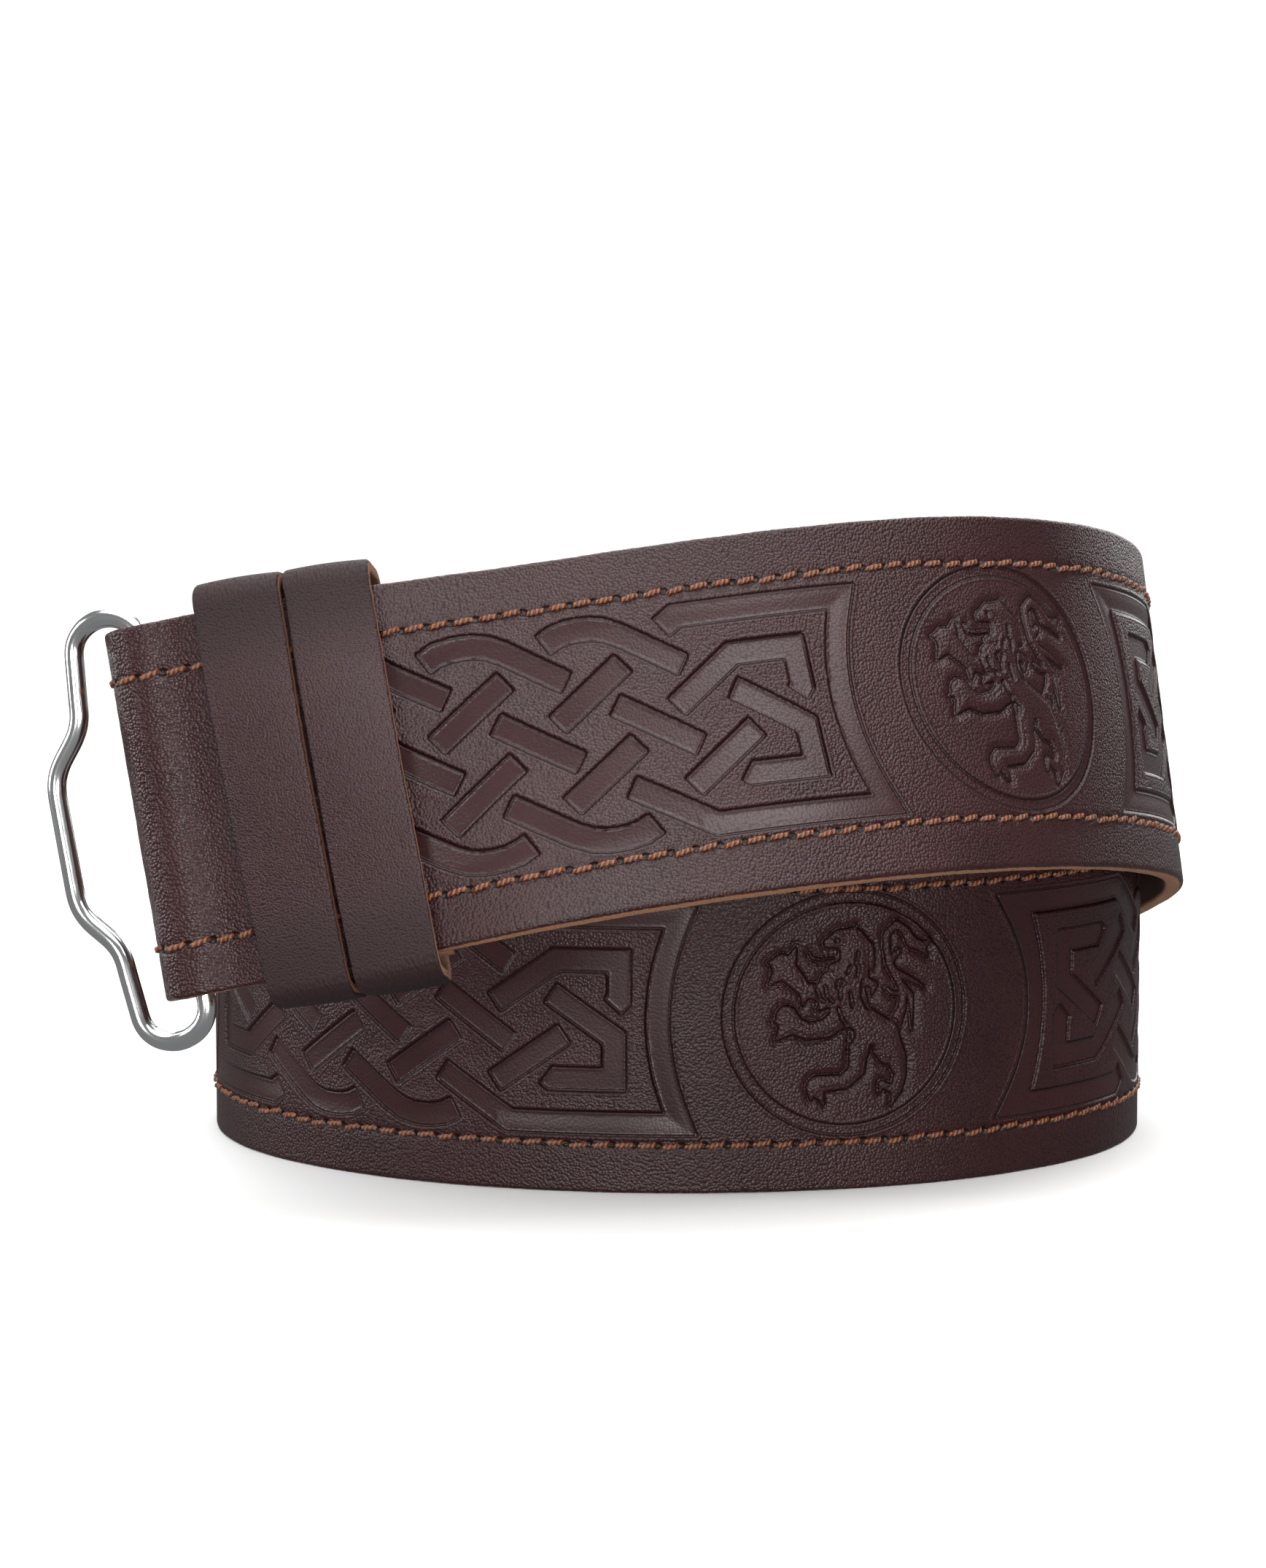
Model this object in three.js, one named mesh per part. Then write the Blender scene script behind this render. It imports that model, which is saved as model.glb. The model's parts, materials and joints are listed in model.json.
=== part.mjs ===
import * as THREE from "three";

// A leather kilt belt, rolled up and standing on its edges. Lengths are in millimetres and angles in degrees.
// The strap starts at its fold round the wire loop, runs once round high and tilted, comes down at the back,
// goes round level on the floor and ends plainly inside that turn.

// Strap
const strapWidth = 57.15;
const strapThickness = 3.3;
const strapEdgeRound = 0.6;
const coilReach = 82.3; // from the middle of the level turn to its outer face, at its sides
const turnGap = 1; // air between a nested turn and the one round it

// Fold at the buckle end
const tailLength = 48; // from the fold's outside to the end of the turned-back tail
const plyGap = 0.4;
const pocketLength = 15; // from the fold's outside to where its two plies meet
const pocketBulge = 1; // the front ply stands out this far over the bar

// Wire loop
const wireDiameter = 3;
const barPlay = 0.8; // air round the bar inside the fold
const loopLength = 66.4; // along the bar, between the wire's centre lines
const loopEndReach = 5; // how far each round end stands past the bar's straight part
const loopEndHeight = 12; // over each round end
const loopShoulder = 21; // half-length between the two bends out to the bow
const loopShoulderHeight = 12.8;
const loopBow = 7.5; // half-length of the bow's straight top
const loopBowHeight = 19.4;
const loopDrop = 1.6; // the loop hangs this far below the strap's middle

// Keepers
const keeperWidth = 13;
const keeperThickness = 2;
const keeperStart = 19.2; // from the fold's outside to the first keeper
const keeperSpacing = 0.8;
const keeperSlant = 1.5; // the bands' upper ends slip this many degrees towards the fold
const keeperPlay = 0.4; // air between a keeper and the faces it holds
const keeperEndPlay = 2.2; // air between a keeper and the strap's edges
const keeperCornerRadius = 3.4;

// Facets
const sectionStep = 4.6;
const foldStep = 1.6;
const edgeFacets = 1; // round each edge of the strap
const cornerFacets = 4; // round each corner of a keeper
const keeperSteps = 4; // over a keeper's width
const wireSides = 10;
const wireSections = 96;
const turnSteps = 800; // over the whole coil, where its length is measured
const turnSpan = 0.25; // of the coil, over which its direction is read

// The strap's outer face, read along its middle. turn runs from the front of the coil to its right, back and
// left. reach is a share of coilReach, nested counts the turns it lies inside, rise is a share of strapWidth
// above the level turn, and lean tips the strap's upper edge inwards.
const stations = [
  { turn: -42.5, reach: 1.546, nested: 0, rise: 0.617, lean: 4 },
  { turn: -36, reach: 1.489, nested: 0, rise: 0.677, lean: 4 },
  { turn: -30, reach: 1.436, nested: 0, rise: 0.724, lean: 9 },
  { turn: -22, reach: 1.37, nested: 0, rise: 0.783, lean: 17 },
  { turn: -15, reach: 1.32, nested: 0, rise: 0.83, lean: 22.5 },
  { turn: 0, reach: 1.231, nested: 0, rise: 0.903, lean: 25.5 },
  { turn: 15, reach: 1.166, nested: 0, rise: 0.942, lean: 23.5 },
  { turn: 30, reach: 1.116, nested: 0, rise: 0.947, lean: 19.5 },
  { turn: 45, reach: 1.079, nested: 0, rise: 0.919, lean: 15 },
  { turn: 60, reach: 1.053, nested: 0, rise: 0.867, lean: 11.5 },
  { turn: 75, reach: 1.034, nested: 0, rise: 0.793, lean: 8.7 },
  { turn: 90, reach: 1.02, nested: 0, rise: 0.698, lean: 6 },
  { turn: 105, reach: 1.008, nested: 0, rise: 0.586, lean: 3.5 },
  { turn: 120, reach: 0.99, nested: 0, rise: 0.448, lean: 1.5 },
  { turn: 135, reach: 0.965, nested: 0, rise: 0.3, lean: 0 },
  { turn: 155, reach: 0.93, nested: 0, rise: 0.14, lean: 0 },
  { turn: 180, reach: 0.9, nested: 0, rise: 0.03, lean: 0 },
  { turn: 205, reach: 0.91, nested: 0, rise: 0, lean: 0 },
  { turn: 225, reach: 0.935, nested: 0, rise: 0, lean: 0 },
  { turn: 250, reach: 0.98, nested: 0, rise: 0, lean: 0 },
  { turn: 270, reach: 1, nested: 0, rise: 0, lean: 0 },
  { turn: 290, reach: 0.972, nested: 0, rise: 0, lean: 0 },
  { turn: 315, reach: 0.892, nested: 0, rise: 0, lean: 0 },
  { turn: 340, reach: 0.829, nested: 0, rise: 0, lean: 0 },
  { turn: 360, reach: 0.813, nested: 0, rise: 0, lean: 0 },
  { turn: 380, reach: 0.829, nested: 0, rise: 0, lean: 0 },
  { turn: 405, reach: 0.892, nested: 0, rise: 0, lean: 0 },
  { turn: 430, reach: 0.966, nested: 0, rise: 0, lean: 0 },
  { turn: 450, reach: 1.02, nested: 0.67, rise: 0, lean: 0 },
  { turn: 465, reach: 1.003, nested: 1, rise: 0, lean: 0 },
  { turn: 480, reach: 0.99, nested: 1, rise: 0, lean: 0 },
  { turn: 495, reach: 0.965, nested: 1, rise: 0, lean: 0 },
  { turn: 515, reach: 0.93, nested: 1, rise: 0, lean: 0 },
  { turn: 540, reach: 0.9, nested: 1, rise: 0, lean: 0 },
  { turn: 565, reach: 0.91, nested: 1, rise: 0, lean: 0 },
  { turn: 585, reach: 0.935, nested: 1, rise: 0, lean: 0 },
  { turn: 610, reach: 0.98, nested: 1, rise: 0, lean: 0 },
  { turn: 630, reach: 1, nested: 1, rise: 0, lean: 0 },
  { turn: 650, reach: 0.972, nested: 1, rise: 0, lean: 0 },
  { turn: 675, reach: 0.892, nested: 1, rise: 0, lean: 0 },
  { turn: 700, reach: 0.829, nested: 1, rise: 0, lean: 0 },
  { turn: 720, reach: 0.813, nested: 1, rise: 0, lean: 0 },
  { turn: 740, reach: 0.829, nested: 1, rise: 0, lean: 0 },
  { turn: 765, reach: 0.892, nested: 1, rise: 0, lean: 0 },
  { turn: 790, reach: 0.966, nested: 1, rise: 0, lean: 0 },
];

const leather = { color: 0x4a3233, roughness: 0.5, metalness: 0 };
const keeperLeather = { color: 0x4d3434, roughness: 0.55, metalness: 0 };
const chrome = { color: 0xc9ccd0, roughness: 0.12, metalness: 1 };

// The route of the coil

const columns = ["reach", "nested", "rise", "lean"];
const courses = new THREE.CubicInterpolant(
  stations.map((row) => row.turn),
  stations.flatMap((row) => columns.map((name) => row[name])),
  columns.length,
  new Float64Array(columns.length),
);

function stationAt(turn) {
  const [reach, nested, rise, lean] = courses.evaluate(turn);
  return {
    radius: reach * coilReach - nested * (strapThickness + turnGap),
    height: (Math.max(rise, 0) + 0.5) * strapWidth,
    lean: THREE.MathUtils.degToRad(lean),
  };
}

function routePoint(turn) {
  const { radius, height } = stationAt(turn);
  const angle = THREE.MathUtils.degToRad(turn);
  return new THREE.Vector3(radius * Math.sin(angle), -radius * Math.cos(angle), height);
}

const firstTurn = stations[0].turn;
const lastTurn = stations.at(-1).turn;
const turnStep = (lastTurn - firstTurn) / turnSteps;
const routeLengths = [0];
for (let i = 1; i <= turnSteps; i++) {
  const turn = firstTurn + i * turnStep;
  routeLengths.push(routeLengths.at(-1) + routePoint(turn).distanceTo(routePoint(turn - turnStep)));
}
const routeLength = routeLengths.at(-1);

function turnAt(along) {
  const next = routeLengths.findIndex((length) => length > along);
  const i = next < 0 ? turnSteps : Math.max(next, 1);
  const share = (along - routeLengths[i - 1]) / (routeLengths[i] - routeLengths[i - 1]);
  return firstTurn + (i - 1 + share) * turnStep;
}

// At a length along the coil: the middle of the outer face and the directions along, across and out of it.
function frameAt(along) {
  const turn = turnAt(along);
  const before = Math.max(turn - turnSpan, firstTurn);
  const after = Math.min(turn + turnSpan, lastTurn);
  const run = routePoint(after).sub(routePoint(before)).normalize();
  const { lean } = stationAt(turn);
  const level = new THREE.Vector3(run.y, -run.x, 0).normalize();
  const upright = new THREE.Vector3().crossVectors(level, run);
  const across = upright.multiplyScalar(Math.cos(lean)).addScaledVector(level, -Math.sin(lean));
  const out = new THREE.Vector3().crossVectors(run, across);
  return { point: routePoint(turn), run, across, out };
}

// A point at a length along the coil, at a distance across the strap and at a height over its outer face.
function onStrap(across, height, along) {
  const frame = frameAt(along);
  return frame.point.addScaledVector(frame.across, across).addScaledVector(frame.out, height);
}

function bend(geometry, place) {
  const corners = geometry.getAttribute("position");
  for (let i = 0; i < corners.count; i++) {
    const to = place(corners.getX(i), corners.getY(i), corners.getZ(i));
    corners.setXYZ(i, to.x, to.y, to.z);
  }
  geometry.computeVertexNormals();
  return geometry;
}

function roundedRectangle(shape, x0, y0, x1, y1, radius) {
  shape.moveTo(x0 + radius, y0);
  shape.lineTo(x1 - radius, y0);
  shape.absarc(x1 - radius, y0 + radius, radius, -Math.PI / 2, 0);
  shape.lineTo(x1, y1 - radius);
  shape.absarc(x1 - radius, y1 - radius, radius, 0, Math.PI / 2);
  shape.lineTo(x0 + radius, y1);
  shape.absarc(x0 + radius, y1 - radius, radius, Math.PI / 2, Math.PI);
  shape.lineTo(x0, y0 + radius);
  shape.absarc(x0 + radius, y0 + radius, radius, Math.PI, 1.5 * Math.PI);
  return shape;
}

// The strap's thickness seen on edge: along the coil against height over the outer face.

const foldRadius = wireDiameter / 2 + barPlay + strapThickness / 2; // to the middle of the leather
const barAlong = foldRadius + strapThickness / 2;
const barHeight = pocketBulge - foldRadius - strapThickness / 2;
const frontHeight = -strapThickness / 2;
const tailHeight = frontHeight - strapThickness - plyGap;

function stripCourse() {
  const reach = (pocketLength - barAlong) / 2;
  const at = (x, y) => new THREE.Vector2(x, y);
  const low = barHeight - foldRadius;
  const high = barHeight + foldRadius;
  const course = new THREE.CurvePath();
  course.add(new THREE.LineCurve(at(tailLength, tailHeight), at(pocketLength, tailHeight)));
  course.add(new THREE.CubicBezierCurve(
    at(pocketLength, tailHeight), at(pocketLength - reach, tailHeight), at(barAlong + reach, low), at(barAlong, low),
  ));
  course.add(new THREE.EllipseCurve(barAlong, barHeight, foldRadius, foldRadius, -Math.PI / 2, Math.PI / 2, true));
  course.add(new THREE.CubicBezierCurve(
    at(barAlong, high), at(barAlong + reach, high), at(pocketLength - reach, frontHeight), at(pocketLength, frontHeight),
  ));
  course.add(new THREE.LineCurve(at(pocketLength, frontHeight), at(routeLength, frontHeight)));
  return course;
}

function strap() {
  const section = roundedRectangle(
    new THREE.Shape(), -strapWidth / 2, -strapThickness / 2, strapWidth / 2, strapThickness / 2, strapEdgeRound,
  );
  // Each piece of the course is cut into even steps, finer round the fold.
  const cuts = [];
  for (const curve of stripCourse().curves) {
    const count = Math.ceil(curve.getLength() / (curve.isLineCurve ? sectionStep : foldStep));
    for (let i = cuts.length ? 1 : 0; i <= count; i++) {
      cuts.push({ middle: curve.getPointAt(i / count), run: curve.getTangentAt(i / count) });
    }
  }
  const geometry = new THREE.ExtrudeGeometry(section, {
    depth: cuts.length - 1, steps: cuts.length - 1, bevelEnabled: false, curveSegments: edgeFacets,
  });
  return bend(geometry, (across, height, cut) => {
    const { middle, run } = cuts[Math.round(cut)];
    return onStrap(across, middle.y + run.x * height, middle.x - run.y * height);
  });
}

function keeper(index) {
  const start = keeperStart + index * (keeperWidth + keeperSpacing);
  const halfWidth = strapWidth / 2 + keeperEndPlay;
  const low = tailHeight - strapThickness / 2 - keeperPlay;
  const band = roundedRectangle(
    new THREE.Shape(),
    -halfWidth - keeperThickness, low - keeperThickness, halfWidth + keeperThickness, keeperPlay + keeperThickness,
    keeperCornerRadius,
  );
  band.holes.push(roundedRectangle(
    new THREE.Path(), -halfWidth, low, halfWidth, keeperPlay, keeperCornerRadius - keeperThickness,
  ));
  const geometry = new THREE.ExtrudeGeometry(band, {
    depth: keeperWidth, steps: keeperSteps, bevelEnabled: false, curveSegments: cornerFacets,
  });
  const slip = Math.tan(THREE.MathUtils.degToRad(keeperSlant));
  return bend(geometry, (across, height, along) => onStrap(across, height, start + along - across * slip));
}

// The wire's centre line: x along the bar, y away from the strap.
function loopOutline() {
  const end = loopLength / 2 - loopEndReach;
  const half = loopEndHeight / 2;
  const middle = (loopShoulder + loopBow) / 2;
  const outline = new THREE.Path();
  outline.moveTo(-end, 0);
  outline.lineTo(end, 0);
  outline.absellipse(end, half, loopEndReach, half, -Math.PI / 2, Math.PI / 2);
  outline.lineTo(loopShoulder, loopShoulderHeight);
  outline.bezierCurveTo(middle, loopShoulderHeight, middle, loopBowHeight, loopBow, loopBowHeight);
  outline.lineTo(-loopBow, loopBowHeight);
  outline.bezierCurveTo(-middle, loopBowHeight, -middle, loopShoulderHeight, -loopShoulder, loopShoulderHeight);
  outline.lineTo(-end, loopEndHeight);
  outline.absellipse(-end, half, loopEndReach, half, Math.PI / 2, 1.5 * Math.PI);
  return outline;
}

// A ring of wire is drawn out along the loop's outline.
function wireLoop() {
  const outline = loopOutline();
  const frame = frameAt(barAlong);
  const centre = onStrap(-loopDrop, barHeight, barAlong);
  const geometry = new THREE.TorusGeometry(loopLength, wireDiameter / 2, wireSides, wireSections);
  return bend(geometry, (x, y, z) => {
    const share = THREE.MathUtils.euclideanModulo(Math.atan2(y, x) / (2 * Math.PI), 1);
    const offset = Math.hypot(x, y) - loopLength;
    const spot = outline.getPointAt(share);
    const run = outline.getTangentAt(share);
    return centre.clone()
      .addScaledVector(frame.across, spot.x + run.y * offset)
      .addScaledVector(frame.run, -(spot.y - run.x * offset))
      .addScaledVector(frame.out, z);
  });
}

function node(name, geometry, finish) {
  const mesh = new THREE.Mesh(geometry, new THREE.MeshStandardMaterial(finish));
  mesh.name = name;
  return mesh;
}

const belt = new THREE.Group();
belt.add(node("strap", strap(), leather));
belt.add(node("keeper_left", keeper(0), keeperLeather));
belt.add(node("keeper_right", keeper(1), keeperLeather));
belt.add(node("wire_loop", wireLoop(), chrome));

// The origin is under the middle of the whole belt, on the surface it stands on.
const extent = new THREE.Box3().setFromObject(belt, true);
const middle = extent.getCenter(new THREE.Vector3());
belt.position.set(-middle.x, -middle.y, -extent.min.z);

export default belt;
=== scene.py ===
import json
import math
import bpy
import numpy as np
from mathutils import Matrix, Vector


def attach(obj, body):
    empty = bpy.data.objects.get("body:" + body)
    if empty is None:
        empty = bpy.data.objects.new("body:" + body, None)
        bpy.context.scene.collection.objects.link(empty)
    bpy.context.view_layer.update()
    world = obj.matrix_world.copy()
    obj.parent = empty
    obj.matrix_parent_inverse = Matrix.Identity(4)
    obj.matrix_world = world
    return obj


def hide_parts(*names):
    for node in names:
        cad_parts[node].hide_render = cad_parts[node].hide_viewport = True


# A leather kilt belt, rolled up and standing on its edges: embossed strap, two keepers and
# a bent wire loop.
# Lengths in the dictionaries are in millimetres; placeMesh turns them into metres.

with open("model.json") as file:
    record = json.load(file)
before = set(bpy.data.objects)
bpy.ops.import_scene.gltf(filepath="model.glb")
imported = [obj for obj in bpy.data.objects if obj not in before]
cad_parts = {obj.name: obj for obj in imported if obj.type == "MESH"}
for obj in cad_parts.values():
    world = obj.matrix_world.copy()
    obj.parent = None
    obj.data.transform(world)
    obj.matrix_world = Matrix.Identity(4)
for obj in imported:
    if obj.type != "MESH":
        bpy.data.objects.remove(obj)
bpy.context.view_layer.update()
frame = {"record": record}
mm = 0.001
foot = frame["record"]["mounts"][0]["pos_m"]

# The strap and the course that it takes

strap = {
    "width": 57.15,
    "thickness": 3.3,
    "edgeRound": 0.6,
    "edgeStray": (0.05, 0.03),  # how far the cut edges stray, in long waves and in short ones
    "coilReach": 82.3,     # from the middle of the level turn to its outer face
    "turnGap": 1.0,
    "tailLength": 48.0,    # from the fold's outside to the end of the tail
    "plyGap": 0.4,
    "pocketLength": 15.0,  # where the fold's two plies meet
    "pocketBulge": 1.0,
    "wireDiameter": 3.0,
    "barPlay": 0.8,
    "foldSwell": 1.3,      # the leather rolls out over the bar
    "swellMiddle": 7.2,
    "swellWidth": (4.2, 5.4),  # before that middle and after it
    "rubbedEnd": (12, 22),  # the fold's grain is rubbed shiny up to here
    "rubbed": 0.3,
    "turnSteps": 800,
    "turnSpan": 0.25,      # degrees over which the direction is read
    "quickPitch": 0.7,
}

# at each turn in degrees: reach as a share of coilReach, turns it lies inside, rise as a share of
# the width, and lean in degrees
stations = np.array([
    (-42.5, 1.546, 0, 0.617, 4), (-36, 1.489, 0, 0.677, 4), (-30, 1.436, 0, 0.724, 9),
    (-22, 1.37, 0, 0.783, 17), (-15, 1.32, 0, 0.83, 22.5), (0, 1.231, 0, 0.903, 25.5),
    (15, 1.166, 0, 0.942, 23.5), (30, 1.116, 0, 0.947, 19.5), (45, 1.079, 0, 0.919, 15),
    (60, 1.053, 0, 0.867, 11.5), (75, 1.034, 0, 0.793, 8.7), (90, 1.02, 0, 0.698, 6),
    (105, 1.008, 0, 0.586, 3.5), (120, 0.99, 0, 0.448, 1.5), (135, 0.965, 0, 0.3, 0),
    (155, 0.93, 0, 0.14, 0), (180, 0.9, 0, 0.03, 0), (205, 0.91, 0, 0, 0), (225, 0.935, 0, 0, 0),
    (250, 0.98, 0, 0, 0), (270, 1, 0, 0, 0), (290, 0.972, 0, 0, 0), (315, 0.892, 0, 0, 0),
    (340, 0.829, 0, 0, 0), (360, 0.813, 0, 0, 0), (380, 0.829, 0, 0, 0), (405, 0.892, 0, 0, 0),
    (430, 0.966, 0, 0, 0), (450, 1.02, 0.67, 0, 0), (465, 1.003, 1, 0, 0), (480, 0.99, 1, 0, 0),
    (495, 0.965, 1, 0, 0), (515, 0.93, 1, 0, 0), (540, 0.9, 1, 0, 0), (565, 0.91, 1, 0, 0),
    (585, 0.935, 1, 0, 0), (610, 0.98, 1, 0, 0), (630, 1, 1, 0, 0), (650, 0.972, 1, 0, 0),
    (675, 0.892, 1, 0, 0), (700, 0.829, 1, 0, 0), (720, 0.813, 1, 0, 0), (740, 0.829, 1, 0, 0),
    (765, 0.892, 1, 0, 0), (790, 0.966, 1, 0, 0),
])
firstTurn, lastTurn = stations[0, 0], stations[-1, 0]
frontTurn = 360  # the turn whose lower edge the rest mount is on


def lengthsAlong(points):
    # the length of a line up to each of its points
    return np.concatenate([[0], np.cumsum(np.linalg.norm(np.diff(points, axis=0), axis=1))])


def coursesAt(turn):
    # cubic through the rows, with the mean of the two chord slopes at each row
    at, values = stations[:, 0], stations[:, 1:]
    chords = np.diff(values, axis=0) / np.diff(at)[:, None]
    slopes = np.vstack([chords[:1], (chords[1:] + chords[:-1]) / 2, chords[-1:]])
    turn = np.clip(np.asarray(turn, float), firstTurn, lastTurn)
    i = np.clip(np.searchsorted(at, turn, side="right") - 1, 0, len(at) - 2)
    step = (at[i + 1] - at[i])[..., None]
    p = (turn[..., None] - at[i][..., None]) / step
    start = (2 * p**3 - 3 * p**2 + 1) * values[i] + (p**3 - 2 * p**2 + p) * step * slopes[i]
    return start + (3 * p**2 - 2 * p**3) * values[i + 1] + (p**3 - p**2) * step * slopes[i + 1]


def routePoint(turn):
    turn = np.clip(np.asarray(turn, float), firstTurn, lastTurn)
    courses = coursesAt(turn)
    inset = courses[..., 1] * (strap["thickness"] + strap["turnGap"])
    radius = courses[..., 0] * strap["coilReach"] - inset
    height = (np.maximum(courses[..., 2], 0) + 0.5) * strap["width"]
    angle = np.radians(turn)
    return np.stack([radius * np.sin(angle), -radius * np.cos(angle), height], -1)


turnGrid = np.linspace(firstTurn, lastTurn, strap["turnSteps"] + 1)
routeLengths = lengthsAlong(routePoint(turnGrid))
gridLengths = np.diff(routeLengths)
routeLength = routeLengths[-1]


def ease(value, start, end):
    share = np.clip((value - start) / (end - start), 0, 1)
    return share * share * (3 - 2 * share)


def bump(value, middle, width):
    return np.exp(-(((value - middle) / width) ** 2))


def unit(vectors):
    return vectors / np.linalg.norm(vectors, axis=-1, keepdims=True)


def turnAt(along):
    # runs on past both ends, as the fold does in front of the first row
    along = np.asarray(along, float)
    i = np.clip(np.searchsorted(routeLengths, along, side="right"), 1, strap["turnSteps"])
    share = (along - routeLengths[i - 1]) / gridLengths[i - 1]
    return turnGrid[i - 1] + share * (turnGrid[1] - turnGrid[0])


def frameAt(along):
    turn = turnAt(along)
    span = strap["turnSpan"]
    before, after = np.maximum(turn - span, firstTurn), np.minimum(turn + span, lastTurn)
    run = unit(routePoint(after) - routePoint(before))
    level = unit(np.stack([run[..., 1], -run[..., 0], 0 * run[..., 0]], -1))
    lean = np.radians(coursesAt(turn)[..., 3])[..., None]
    across = np.cross(level, run) * np.cos(lean) - level * np.sin(lean)
    return routePoint(turn), run, across, np.cross(run, across)


# the coil's middle stands behind the rest mount, which is under the middle of the leather
frontReach = -routePoint(frontTurn)[1] - strap["thickness"] / 2
coilMiddle = np.array([foot[0] / mm, foot[1] / mm + frontReach, 0])


def onStrap(across, height, along):
    point, _, acrossWay, out = frameAt(along)
    sideways, outwards = (np.asarray(value)[..., None] for value in (across, height))
    return coilMiddle + point + acrossWay * sideways + out * outwards


foldRadius = strap["wireDiameter"] / 2 + strap["barPlay"] + strap["thickness"] / 2
barAlong = foldRadius + strap["thickness"] / 2
barHeight = strap["pocketBulge"] - foldRadius - strap["thickness"] / 2
frontHeight = -strap["thickness"] / 2
tailHeight = frontHeight - strap["thickness"] - strap["plyGap"]


def bezier(start, startPull, endPull, end):
    t = np.linspace(0, 1, 40)[:, None]
    corners = [np.array(p, float) for p in (start, startPull, endPull, end)]
    near = (1 - t) ** 3 * corners[0] + 3 * (1 - t) ** 2 * t * corners[1]
    return near + 3 * (1 - t) * t**2 * corners[2] + t**3 * corners[3]


def stripCourse():
    # the middle of the leather seen on edge, from the tail's end round the bar to the free end
    pocket, reach = strap["pocketLength"], (strap["pocketLength"] - barAlong) / 2
    low, high = barHeight - foldRadius, barHeight + foldRadius
    turns = np.radians(np.linspace(-90, -270, 60))
    arc = np.stack([barAlong + foldRadius * np.cos(turns), barHeight + foldRadius * np.sin(turns)], 1)
    points = np.vstack([
        np.linspace((strap["tailLength"], tailHeight), (pocket, tailHeight), 30)[:-1],
        bezier((pocket, tailHeight), (pocket - reach, tailHeight),
               (barAlong + reach, low), (barAlong, low))[:-1],
        arc[:-1],
        bezier((barAlong, high), (barAlong + reach, high),
               (pocket - reach, frontHeight), (pocket, frontHeight)),
        [(routeLength, frontHeight)],
    ])
    lengths = lengthsAlong(points)
    return points, lengths - lengths[-2] + pocket


coursePoints, courseLengths = stripCourse()
tailEnd = courseLengths[0]


def onCourse(along, across, depth):
    # depth is measured inwards from the grain face, and along is the length of leather from the fold
    before, middle, after = (
        np.stack([np.interp(along + shift, courseLengths, coursePoints[:, k]) for k in (0, 1)], -1)
        for shift in (-0.4, 0, 0.4))
    run = unit(after - before)
    height = strap["thickness"] / 2 - depth
    width = np.where(along < strap["swellMiddle"], *strap["swellWidth"])
    middle[..., 1] += strap["foldSwell"] * bump(along, strap["swellMiddle"], width)
    return onStrap(across, middle[..., 1] + run[..., 0] * height, middle[..., 0] - run[..., 1] * height)


# The embossing: interlace panels between round medallions, each with a rampant lion

emboss = {
    "repeat": 160.4,        # from one medallion to the next
    "medallion": 19.1,      # radius of the groove round it, to the groove's middle
    "medallionMiddle": 0.3,
    "grooveHalf": 0.9,
    "grooveDepth": 0.32,
    "grooveWall": (-0.25, 0.35),
    "domeStart": 4.0,
    "domeHeight": 0.25,
    "bandHalf": 1.95,       # half the width of an interlace band
    "bandDepth": 0.46,
    "wall": 0.28,           # half the width of a pressed edge
    "smoothStart": (-0.1, 0.4),  # over which the pressed leather gets smooth
    "puff": 0.1,            # the grained field swells this much beside a band
    "puffLine": (1.2, 0.8),  # middle and width of that swell
    "column": 9.35,         # crossings of the interlace, along and across the strap
    "row": 6.5,
    "overHalf": 5.95,       # half-length of a band that passes over one crossing
    "middle": -0.4,         # the panel's centre line
    "panelHalf": 51.25,     # to the middle of a panel's hollowed end
    "cornerHalf": 55.6,
    "sideHalf": 18.8,
    "reach": 21.0,          # nothing is pressed farther from the centre line
    "frameLine": 16.9,      # centre line of the loops and of the frame's long sides
    "flankHalf": 22.0,      # up to here the loops may come closer to the panel's sides
    "flankPlay": 1.5,
    "borderFade": (0.5, 4.0),  # the pressing gets shallower towards the panel's border
    "borderShare": 0.45,
    "figureMiddle": 0.64,   # where the lion's drawing has its nought across the strap
    "figureDepth": 0.45,
    "figureLine": (-0.3, 0.5),  # middle and width of the pressed outline
    "figurePuff": 0.35,
    "figureRise": (0.1, 1.5),
    "creaseHalf": 0.2,
    "creaseDepth": 0.3,
    "creaseLine": (-0.2, 0.45),
    "eye": (-2.0, 11.7),
    "eyeRadius": 0.38,
    "eyeDepth": 0.5,
    "eyeLine": (-0.4, 0.45),
    "wornEnd": (22, 44),    # bending has smoothed the pattern on the fold up to here
    "wornShare": 0.08,
    "clip": 1.5,            # signed distances are kept within this
}

# length along the strap against length along the pattern, with 0 at the medallion on the raised turn
patternMarks = np.array([
    (-60, -218), (14.7, -140.1), (20, -134.8), (46, -100.6), (56.8, -89.8), (125.7, -20),
    (170, 20), (181.5, 29.2), (541.2, 391.4), (601.7, 452), (610.1, 461), (652.3, 501.4),
    (665.9, 510.4), (1200, 1045),
])


def ribbon(points, half):
    # outline of a band along points, with mitred corners and square ends
    points = np.array(points, float)
    ways = unit(np.diff(points, axis=0))
    sides = np.stack([-ways[:, 1], ways[:, 0]], 1)
    mitres = [sides[0]]
    for before, after in zip(sides[:-1], sides[1:]):
        mitres.append((before + after) / (1 + before @ after))
    mitres = np.array(mitres + [sides[-1]])
    return np.vstack([points + mitres * half, (points - mitres * half)[::-1]])


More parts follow.
